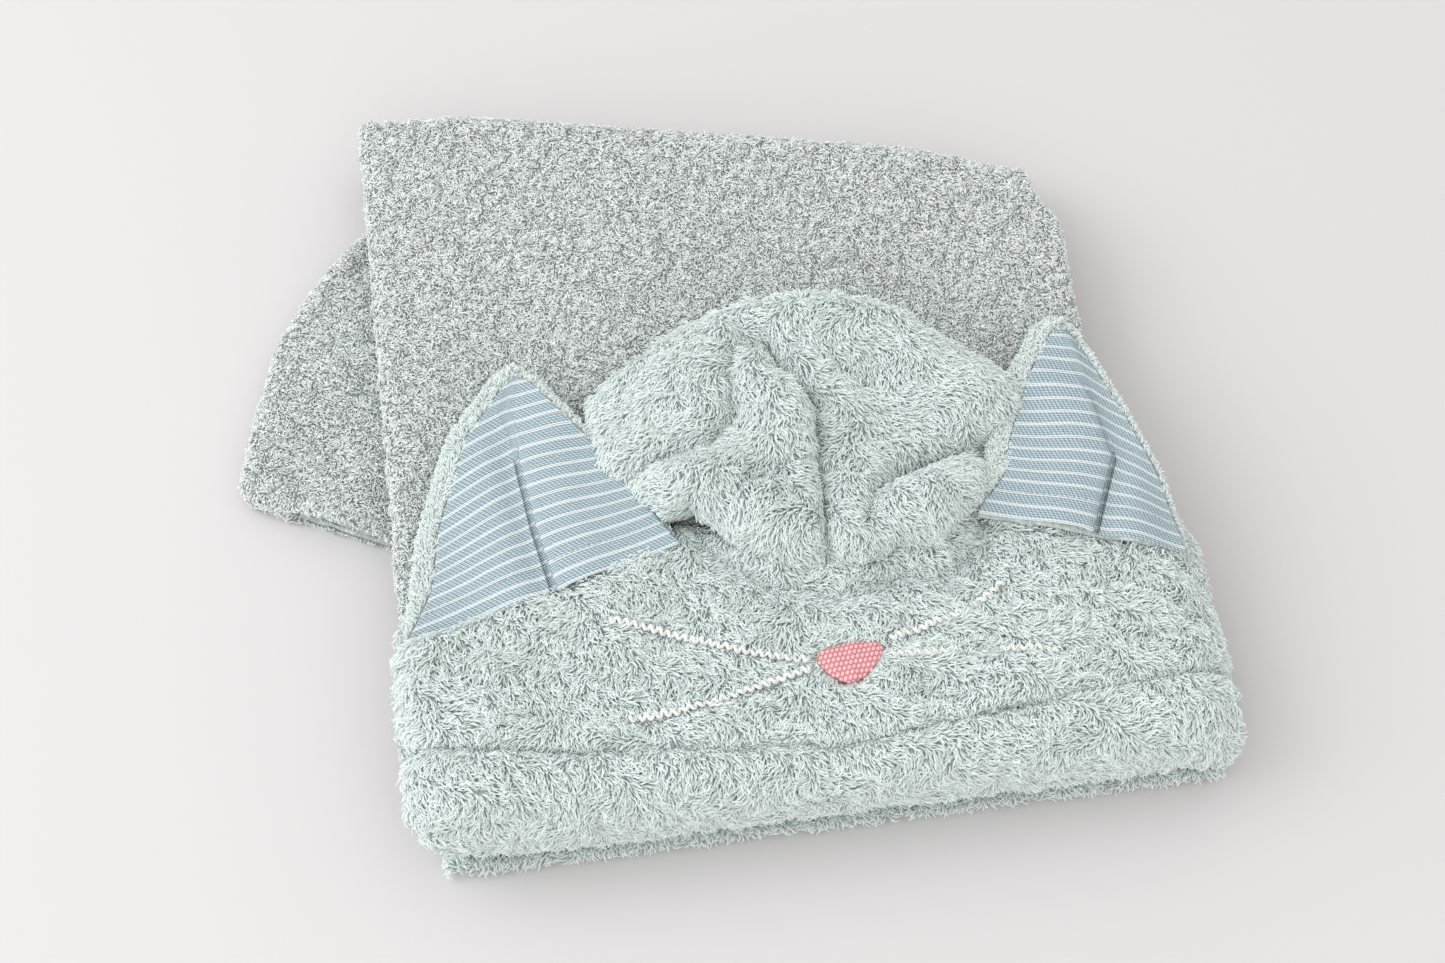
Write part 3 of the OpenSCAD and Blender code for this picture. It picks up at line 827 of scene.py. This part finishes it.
def crown_half(name, start, end):
    """One half of the crown, as rays from its centre that tuck under at the widest line."""
    rays = round(abs(end - start) * 70 / FINE)
    out = np.r_[0.02, 0.025, 0.035, np.linspace(0.05, 1.0, round(72 / FINE))]
    tuck = np.linspace(0.08, 1, 12) * math.pi / 2
    grid = []
    for angle in start + (end - start) * steps(1.0, 1.0 / rays, 0.012):
        radius = float(np.interp(angle, *by_angle(crown_outline, CROWN)))
        way = np.array([math.cos(angle), math.sin(angle)])
        p = CROWN + np.outer(out * radius, way)
        flat = np.c_[p, np.zeros(len(p))]
        softness = 0.8 - 0.45 * smooth(0, -30, p[:, 0]) * smooth(-60, -40, p[:, 1])
        z = crown_height(p[:, 0], p[:, 1]) + 0.7 * crown_lump(flat)
        z = z - 13 * softness * rounding(radius * (1 - out), 13)
        # below the widest line the cloth turns in and down to the border that it is sewn to
        forward = smooth(-55, -85, p[-1, 1])
        inward = radius - (10 + 26 * forward) * (1 - np.cos(tuck))
        under_z = z[-1] + (53.0 + 4.0 * forward - z[-1]) * np.sin(tuck) ** 0.8
        grid.append(np.r_[np.c_[p, z], np.c_[CROWN + np.outer(inward, way), under_z]])
    return shell(name, grid, 5.0, plush, edge=2.5, tuft=0.8, flip=True)


seam_back = math.atan2(30 - CROWN[1], 38 - CROWN[0])
seam_front = math.atan2(-120 - CROWN[1], 47 - CROWN[0])
SEAM_GAP = 0.012
crown_left = crown_half("crown_left_terry", seam_back + SEAM_GAP, seam_front + 2 * math.pi - SEAM_GAP)
crown_right = crown_half("crown_right_terry", seam_front + SEAM_GAP, seam_back - SEAM_GAP)
stand_in(crown_left, "hood_terry", "crown_left")
stand_in(crown_right, "hood_terry", "crown_right")

# ---------------------------------------------------------------- seams and stitching
face_height = surface_sampler(hood_face)


def hem_stitches():
    """Single stitches, sunk in their groove."""
    length, pitch = 3.2, 4.3
    runs = []
    for start in np.arange(HOOD_LEFT + 4, HOOD_RIGHT - 6, pitch):
        xs = np.linspace(start, start + length, 5)
        ys = np.interp(xs, stitch_x, stitch_y)
        runs.append([(x, y, face_height(x, y) + 0.1 + 0.4 * math.sin(math.pi * (x - start) / length))
                     for x, y in zip(xs, ys)])
    return tube("hem_stitching", runs, 0.42, seam_thread, 6)


def face_seam_roll():
    x = np.linspace(HOOD_LEFT + 8, HOOD_RIGHT - 10, 120)
    return tube("face_seam", [np.c_[x, seam_at(x) + 0.2, 52 - 9 * smooth(190, 222, x)]], 1.7, plush, 10)


def neck_roll():
    x = np.linspace(0, 70, 40)
    z = 41.4 + 0.4 * np.sin(x * 9 / 70)
    return tube("neck_seam_roll", [np.c_[x, np.full(40, 25.0), z]], 2.0, plush, 12)


def crown_seam_line():
    y = np.linspace(26, -112, 90)
    x = np.interp(-y, [-30, 2, 28, 56, 84, 120], [38, 38, 52, 52, 50, 47])
    z = crown_height(x, y) - 0.5 - 10 * smooth(16, 27, y) - 7 * smooth(-102, -113, y)
    return tube("crown_seam_line", [np.c_[x, y, z]], 0.9, seam_thread, 8)


hem_stitching, face_seam = hem_stitches(), face_seam_roll()
neck_seam, crown_seam = neck_roll(), crown_seam_line()
stand_in(hem_stitching, "seam_thread", "hood_hem_stitching")
stand_in(face_seam, "hood_terry", "ear_seam")
stand_in(neck_seam, "hood_terry", "neck_seam")
stand_in(crown_seam, "seam_thread", "crown_seam")

# ---------------------------------------------------------------- the ears
# The pleat's tuck: distance across, height in cloth layers and distance along the cloth.
TUCK = [(-3.0, 0.0, -3.0), (2.0, 0.0, 2.0), (5.0, 0.1, 5.0), (6.2, 0.5, 6.5), (5.0, 0.92, 8.0),
        (2.0, 1.0, 11.0), (0.4, 1.04, 12.6), (-0.3, 1.5, 13.4), (0.4, 1.96, 14.2), (3.0, 2.0, 16.8)]
TUCK_CLOTH = 13.8  # along the cloth from one end of the tuck to the other
LAYER_STEP = 1.15  # height of one layer of the tuck


def ear(side, base_l, base_r, left_edge, right_edge, apex, pleat, z_ends, z_tip, inset_l, inset_r, over, tilt,
        sag):
    """Terry back, pleated striped lining and the stitching near its base. pleat is the tuck's line, across
    and up from the base; over is 1 where the right half lies on top, else -1; tilt is each half's stripe
    slope; sag is how far the right corner hangs."""
    name = "ear_" + side
    left, right = np.array([base_l, *left_edge, apex], float), np.array([base_r, *right_edge, apex], float)
    left_run, right_run = lengths(left), lengths(right)
    base_l, base_r = left[0], right[0]
    width = np.linalg.norm(base_r - base_l)
    across = (base_r - base_l) / width
    up = np.array([-across[1], across[0]])
    centre = (base_l + base_r) / 2
    height = np.linalg.norm(left[-1] - centre)
    pleat = np.array(pleat, float)

    def columns(pleated, pitch):
        """Kind, share or distance across, layer and distance along the cloth: left half, tuck, right half."""
        share = np.r_[0, 0.006, 0.02, np.linspace(0.04, 1, round(62 / pitch))]
        cols = [("left", f, 0, 0) for f in share]
        right_half = [("right", f, 0, 0) for f in 1 - share[::-1]]
        if not pleated:
            return cols + right_half[1:], len(share)
        tuck = TUCK if over > 0 else [(-d, layer, TUCK_CLOTH - run) for d, layer, run in TUCK[::-1]]
        return cols + [("tuck", *fold) for fold in tuck] + right_half, len(share)

    def edge_point(points, run, b, tip_in, grow):
        keep = 1 - tip_in / height * smooth(0.0, 1, b)
        p = centre + (along_line(b * run[-1], run, points) - centre) * keep
        return p + across * grow * smooth(0, 0.2, b) * (1 - 0.35 * b)

    def surface(inset_l, inset_r, tip_in, lift, pleated, pitch):
        """Points and cloth coordinates, by column from left to right and by row from the base to the tip."""
        rows = steps(1.0, pitch / 130, 0.02)
        cols, first_tuck = columns(pleated, pitch)
        points = np.zeros((len(cols), len(rows), 3))
        uvs = np.zeros((len(cols), len(rows), 2))
        for j, b in enumerate(rows):
            blunt = across * 1.2 * b ** 8  # keeps some width at the tip
            l = edge_point(left, left_run, b, tip_in, inset_l) - blunt
            r = edge_point(right, right_run, b, tip_in, -inset_r) + blunt
            lw, rw = float((l - base_l) @ across), float((r - base_l) @ across)
            h0 = float(((l + r) / 2 - base_l) @ up)
            narrow = 0.3 * (rw - lw)
            pw = float(np.clip(np.interp(h0, pleat[:, 1], pleat[:, 0]), lw + narrow, rw - narrow))
            # the tuck fades near the tip
            folded = float(smooth(pleat[-1, 1] + 10, pleat[-1, 1] - 16, h0))
            fade = folded if pleated else 0.0
            reach = min(3.0, 0.2 * (rw - lw)) if pleated else 0.0
            h = h0 / height
            for i, (kind, f, layer, run) in enumerate(cols):
                if kind == "left":
                    d = (lw - pw) + f * (pw - reach - lw)
                elif kind == "tuck":
                    evenly = 2 * (i - first_tuck) / (len(TUCK) - 1) - 1
                    shut = float(smooth(0.72, 1.0, fade))
                    d = shut * f * reach / 3 + (1 - shut) * evenly * reach * 0.9
                else:
                    d = reach + f * (rw - pw - reach)
                w = pw + d
                q = min(max((w - lw) / (rw - lw), 0), 1)
                p = l + (r - l) * q
                z_base = z_ends[0] + (z_ends[1] - z_ends[0]) * min(max(w / width, 0), 1)
                z = z_base + (z_tip - z_base) * smooth(0, 1, h) + lift
                on_top = d * over
                if kind != "tuck":
                    layer = 2.0 * smooth(30, 6, on_top) if on_top > 0 else 0.0
                z += LAYER_STEP * layer * fade
                z += 2.0 * hump(abs(d) - 20, 15) * (1 - smooth(0.7, 1, h))
                z -= 1.4 * folded * hump(on_top + 6, 6.0)
                z -= sag * smooth(0.62, 1.0, q) ** 2 * (1 - 0.6 * h)
                points[i, j] = (p[0], p[1], z)
                rise = float((p - base_l) @ up)
                slope = (tilt[0] if d < 0 else tilt[1]) * d * smooth(2, 55, rise)
                past = float(smooth(2, 11, run)) if kind == "tuck" else float(kind == "right")
                past = past if over > 0 else 1 - past
                along = w + (run if kind == "tuck" else 0)
                uvs[i, j] = (along * MM, (rise + slope + 2.6 * fade * past) * MM)
        return points, uvs

    def stitches():
        """Short stitches along the base, left out where they would cross the tuck."""
        runs = []
        for start in np.arange(6.0, width - 9, 2.7):
            spots = [base_l + across * (start + d) + up * 14.6 for d in (0, 0.9, 1.8)]
            z = [lining_height(*p) for p in spots]
            if max(z) - min(z) < 1.2:
                runs.append([(*p, h + 0.05) for p, h in zip(spots, z)])
        return tube(name + "_thread", runs, 0.25, seam_thread, 6)

    back_points, _ = surface(0, 0, 0.0, 0, False, FINE)
    back = shell(name + "_terry", back_points, 4.0, plush, edge=2.2, tuft=0.25)
    lining_points, lining_uv = surface(inset_l, inset_r, 4.0, 3.3, True, LINING_PITCH)
    lining = shell(name + "_stripes", lining_points, 0.9, cotton, edge=0.6, tuft=0.0, uv=lining_uv)
    lining_height = surface_sampler(lining)
    thread = stitches()
    stand_in(back, "hood_terry", name + "_back")
    stand_in(lining, "striped_cotton", name + "_lining")
    stand_in(thread, "seam_thread", name + "_stitching")
    for piece in (back, lining, thread):
        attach(piece, name)
    return back, lining


ears = [
    ear("left", (-144, -121), (-17, -87), [(-134, -64), (-116, -14), (-95, 15)],
        [(-31, -56), (-50, -20), (-73, 16)], (-84, 25), pleat=[(73, 0), (76, 35), (84, 87)],
        z_ends=(48.5, 57.5), z_tip=51.5, inset_l=10.5, inset_r=1.5, over=1, tilt=(-0.22, 0.14), sag=0),
    ear("right", (119, -92), (212, -119), [(134, -50), (150, -16), (168, 10)],
        [(208, -76), (198, -34), (186, 6)], (177, 14), pleat=[(52, 0), (53, 8), (58, 43), (52, 70), (49, 84)],
        z_ends=(61.0, 52.0), z_tip=55.0, inset_l=9.0, inset_r=1.5, over=-1, tilt=(-0.10, 0.5), sag=5)]

# ---------------------------------------------------------------- nose and whiskers
nose_outline = np.array([(36.5, -156), (35.2, -152.5), (36.2, -149.6), (40, -148.2), (46, -147.2),
                         (53, -146.8), (60, -147.4), (64.6, -149), (65.2, -152), (62.6, -157),
                         (57.5, -162.5), (52, -165.8), (47, -166.4), (42, -163), (38.5, -159.5)])
NOSE = nose_outline.mean(0)


def nose_rim(count=56):
    """Evenly spaced points round the nose."""
    closed = np.vstack([nose_outline, nose_outline[:1]])
    run = lengths(closed)
    at = np.linspace(0, run[-1], count, endpoint=False)
    return np.c_[np.interp(at, run, closed[:, 0]), np.interp(at, run, closed[:, 1])]


rim = nose_rim()


def nose_patch():
    """A low dome on the face, with cloth coordinates turned so that the rows of stitches slant."""
    shares = np.array([0, 0.25, 0.5, 0.72, 0.88, 0.96, 1.0, 1.0])
    slant = 1.12
    level = np.mean([face_height(*p) for p in rim])
    last = len(shares) - 1
    verts, faces, uvs = [], [], []
    for ring, share in enumerate(shares):
        rise = 2.5 - 1.0 * share ** 4 if ring < last else -0.6
        for p in rim:
            x, y = NOSE + (p - NOSE) * share
            verts.append((x, y, level * 0.6 + face_height(x, y) * 0.4 + rise))
            uvs.append(((x * math.cos(slant) + y * math.sin(slant)) * MM,
                        (y * math.cos(slant) - x * math.sin(slant)) * MM))
    n = len(rim)
    for ring in range(0, last * n, n):
        for j in range(n):
            k = (j + 1) % n
            faces.append([ring + j, ring + n + j, ring + n + k, ring + k])
    faces.append([last * n + j for j in range(n)][::-1])
    return make("nose_patch", np.array(verts), faces, pink_thread, uvs)


nose = nose_patch()
stand_in(nose, "pink_thread", "nose")

# how far each whisker lies above its usual height, the share of pile cut away along it, and its line
WHISKERS = {
    "whisker_left_upper": (-0.2, 0.6, [(-53, -121), (-30, -130), (-5, -141), (16, -148), (33, -152)]),
    "whisker_left_lower": (-0.2, 0.6, [(-50, -171), (-28, -171), (-4, -166), (16, -161), (32, -157)]),
    "whisker_right_upper": (-0.7, 0.45, [(69, -147), (84, -143), (100, -138), (112, -133), (124, -126)]),
    "whisker_right_lower": (-1.5, 0.45, [(68, -155), (88, -156), (108, -157), (126, -160), (142, -164)]),
}


def whisker(name, order, rise, line):
    """A zigzag of thread along a line on the face."""
    pitch, half_width = 1.9, 1.25
    line = np.array(line, float)
    run = lengths(line)
    wobble = np.random.default_rng(len(name) + 7 * order).normal(0, 1, (400, 3))
    zigzag = []
    for i in range(int(run[-1] / pitch) * 4 + 1):
        q = i * pitch / 4
        way = norm((along_line(q + 1, run, line) - along_line(q - 1, run, line))[None])[0]
        side = half_width * math.cos(i * math.pi / 4) + 0.25 * wobble[i // 2, 0]
        x, y = along_line(q, run, line) + np.array([-way[1], way[0]]) * side
        z = face_height(x, y) + 2.0 + rise + 0.4 * math.sin(i * math.pi / 4)
        zigzag.append((x, y, z + 0.6 * math.sin(i / 17) + 0.2 * wobble[i // 4, 1]))
    thread = tube(name + "_thread", [zigzag], 0.95, white_thread, 7)
    stand_in(thread, "white_thread", name)
    return thread


whiskers = [whisker(name, i, rise, line) for i, (name, (rise, _, line)) in enumerate(WHISKERS.items())]

for piece in (towel_middle, towel_end):
    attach(piece, "lower_fold")
for piece in (hood_face, hood_under, crown_left, crown_right, crown_seam, face_seam, neck_seam, hem_stitching,
              nose, *whiskers):
    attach(piece, "hood")


# ---------------------------------------------------------------- pile on the folded towel
def towel_flow(root, nrm):
    return np.tile(np.array([0.2, -1.0, 0.0]), (len(root), 1))


def on_outside_of_fold(p):
    out, up = (p[:, 1] - fold_start(p[:, 0])) * math.cos(FOLD_ANGLE), p[:, 2] - LOOP
    return np.hypot(out, up) > LOOP - 3.4


def keep_top(p, n):
    """All of the top panel that shows, and a quarter of what lies under the hood."""
    seen = (n[:, 2] > 0.2) & (p[:, 2] > TOP - 4)
    fold = (p[:, 1] > fold_start(p[:, 0]) - 2) & (p[:, 2] > LOOP) & on_outside_of_fold(p)
    ends = (p[:, 0] < LEFT + 4) | (p[:, 0] > RIGHT - 3) | (p[:, 1] < FRONT + 2)
    under_hood = (p[:, 1] < -30) & (p[:, 0] > -125) & (p[:, 0] < 185)
    kept = np.where(seen | fold | (ends & (p[:, 2] > TOP - LAYER - 8)), 1.0, 0.0)
    return np.where(under_hood & seen, 0.25, kept)


def keep_top_under(p, n):
    level = p[:, 2] - (TOP - LAYER)
    return ((n[:, 2] < -0.2) & (level < -4) & (level > -8) & (p[:, 1] < fold_start(p[:, 0]))) * 0.3


def keep_lower_fold(p, n):
    return ((p[:, 1] > fold_start(p[:, 0]) - 2) & (p[:, 2] <= LOOP) & on_outside_of_fold(p)) * 1.0


def keep_middle(p, n):
    top = (n[:, 2] > 0.3) & (p[:, 2] > mid_up_hi[2] - 3)
    ends = (p[:, 0] < LEFT + 8) | (p[:, 0] > mid_hi[0] - 6)
    return np.where(ends, 1.0, np.where(top, 0.3, 0.0))


def keep_end(p, n):
    flap_side = (p[:, 0] < -128) & (n[:, 2] > -0.5)
    between_layers = (p[:, 2] > 2.9) & (p[:, 2] < 9.8) & (np.abs(n[:, 2]) > 0.6)
    ends = (p[:, 0] > end_hi[0] - 5) | (p[:, 1] < FRONT + 4)
    covered = (n[:, 2] > 0.5) & (p[:, 2] > 10)
    return np.where((flap_side & ~between_layers) | ends, 1.0, np.where(covered, 0.05, 0.0))


SHORT = dict(pitch=TERRY_PITCH, length=3.2, lean=1.15, radius=0.28, material=short_pile, flow=towel_flow)
pile("pile_top", towel_top, "upper_fold", keep=keep_top, seed=1, **SHORT)
pile("pile_top_under", towel_top, "upper_fold", keep=keep_top_under, seed=2, **SHORT)
pile("pile_loop", towel_top, "lower_fold", keep=keep_lower_fold, seed=3, **SHORT)
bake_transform(towel_top)
pile("pile_middle", towel_middle, "lower_fold", keep=keep_middle, seed=4, **SHORT)
pile("pile_end", towel_end, "lower_fold", keep=keep_end, seed=5, **SHORT)


# ---------------------------------------------------------------- pile on the hood
def hood_flow(root, nrm):
    down = np.ones(len(root))
    return np.c_[0.25 + 0.4 * np.sin(root[:, 0] / 60), -down, -0.6 * down]


def crown_flow(root, nrm):
    down = np.ones(len(root))
    return np.c_[(root[:, 0] - 50) * 0.012, 1.6 * smooth(18, 30, root[:, 1]) - down, -0.7 * down]


def ear_flow(root, nrm):
    return np.c_[nrm[:, 0], nrm[:, 1] + 0.25, np.zeros(len(root))]


def keep_face(p, n):
    """Everywhere but on the nose."""
    d = p[:, :2] - NOSE
    limit = np.interp(np.arctan2(d[:, 1], d[:, 0]), *by_angle(rim, NOSE))
    return np.where(np.hypot(d[:, 0], d[:, 1]) < limit + 0.6, 0.0, 1.0)


def trim_face(p):
    """Shorter along the stitches, the whiskers, the crown's front and round the nose."""
    x, y = p[:, 0], p[:, 1]
    from_stitches = along_front(y) - along_front(np.interp(x, stitch_x, stitch_y))
    underside = (p[:, 2] < 44) & (y < HOOD_FRONT + 12)
    groove = np.where(underside, 1.0, 1 - 0.6 * hump(from_stitches, 3.0))
    cut = np.ones(len(p))
    for _, short, line in WHISKERS.values():
        cut = np.minimum(cut, 1 - short * hump(line_dist(x, y, line), 2.7))
    cut = cut * (1 - 0.4 * hump(line_dist(x, y, crown_front), 6))
    near = np.hypot((x - NOSE[0]) / 17, (y - NOSE[1]) / 12)
    return groove * cut * (1 - 0.45 * smooth(1.35, 0.95, near))


def keep_under(p, n):
    x, y, z = p.T
    foot = (z < 12) & (y < FRONT - 3)
    sides = (x > 190) | (x < HOOD_LEFT + 8)
    beside_crown = (y > seam_at(x) - 12) & ((x < 4) | (x > 118)) & (n[:, 2] > 0.2)
    below = (n[:, 2] < -0.4) & (z < 41)
    return np.where(foot | sides | (y > -20) | beside_crown, 1.0, np.where(below, 0.25, 0.0))


def trim_crown(p):
    cut = 1 - 0.55 * hump(line_dist(p[:, 0], p[:, 1], seam_valley), 4)
    for crease in (right_crease, left_crease):
        cut = cut * (1 - 0.35 * hump(line_dist(p[:, 0], p[:, 1], crease), 4))
    return cut


def keep_ear(lining):
    """The ear's terry shows round the lining and on the under side, and is bare beneath the lining."""
    height = surface_sampler(lining, None)

    def keep(p, n):
        covered = np.array([height(x, y) is not None for x, y in p[:, :2]])
        return np.where(n[:, 2] < -0.1, 0.35, np.where(covered, 0.0, 1.6))

    return keep


LONG = dict(pitch=PLUSH_PITCH, length=5.4, lean=1.1, radius=0.34, material=long_pile)
pile("pile_face", hood_face, "hood", keep=keep_face, flow=hood_flow, seed=6, jitter=0.32, swirl=(0.75, 0.4),
     trim=trim_face, flow_size=(26, 9), bend=0.2, **LONG)
pile("pile_under", hood_under, "hood", keep=keep_under, flow=hood_flow, seed=7, jitter=0.35, swirl=(0.8, 0.6),
     flow_size=(24, 9), **{**LONG, "length": 4.6, "radius": 0.3})
for half, seed in ((crown_left, 8), (crown_right, 9)):
    pile("pile_" + half.name, half, "hood", flow=crown_flow, seed=seed, jitter=0.28, swirl=(0.55, 0.3),
         flow_size=(34, 10), trim=trim_crown, bend=0.18, **LONG)
for (back, lining), body, seed in zip(ears, ("ear_left", "ear_right"), (10, 11)):
    pile("pile_" + back.name, back, body, TERRY_PITCH, length=3.4, lean=1.0, radius=0.26, material=long_pile,
         flow=ear_flow, keep=keep_ear(lining), seed=seed, swirl=(0.7, 0.6), inner=1.0)

# ---------------------------------------------------------------- studio, in metres
scene = bpy.context.scene


def lay_floor():
    look = Look("sweep", 0.9)
    look.bsdf.inputs["Base Color"].default_value = (0.575, 0.562, 0.566, 1)
    reach, level = 12000, -0.2
    corners = [(-reach, -reach, level), (reach, -reach, level), (reach, reach, level), (-reach, reach, level)]
    make("floor", corners, [[0, 1, 2, 3]], look.mat)


def light_room():
    """Soft light from all round, brighter on the left."""
    world = bpy.data.worlds.new("studio")
    scene.world = world
    world.use_nodes = True
    nodes, link = world.node_tree.nodes, world.node_tree.links.new
    room = nodes["Background"]
    room.inputs[0].default_value = (1.0, 0.985, 0.98, 1)
    way = nodes.new("ShaderNodeSeparateXYZ")
    link(nodes.new("ShaderNodeTexCoord").outputs["Generated"], way.inputs[0])
    strength = nodes.new("ShaderNodeMapRange")
    strength.inputs["From Min"].default_value = -1
    strength.inputs["To Min"].default_value = 1.50
    strength.inputs["To Max"].default_value = 0.80
    link(way.outputs[0], strength.inputs["Value"])
    link(strength.outputs[0], room.inputs[1])


def lamp(name, where, size, watts, colour):
    data = bpy.data.lights.new(name, "AREA")
    data.energy = watts
    data.size = size
    data.color = colour
    obj = bpy.data.objects.new(name, data)
    scene.collection.objects.link(obj)
    obj.location = where
    obj.rotation_euler = (-Vector(where)).to_track_quat("-Z", "Y").to_euler()


def place_camera():
    data = bpy.data.cameras.new("photo_camera")
    data.lens = 62.16
    data.sensor_width = 36
    camera = bpy.data.objects.new("photo_camera", data)
    scene.collection.objects.link(camera)
    camera.location = (-0.0775, -0.6572, 1.0307)
    camera.rotation_euler = (math.radians(32), 0, math.radians(-8))
    scene.camera = camera


lay_floor()
light_room()
lamp("key", (-1.35, 0.15, 1.15), 1.2, 12, (0.96, 0.99, 1.0))
lamp("fill", (0.1, -1.6, 1.2), 1.6, 7, (1.0, 0.99, 0.98))
place_camera()
scene.view_settings.view_transform = "Standard"
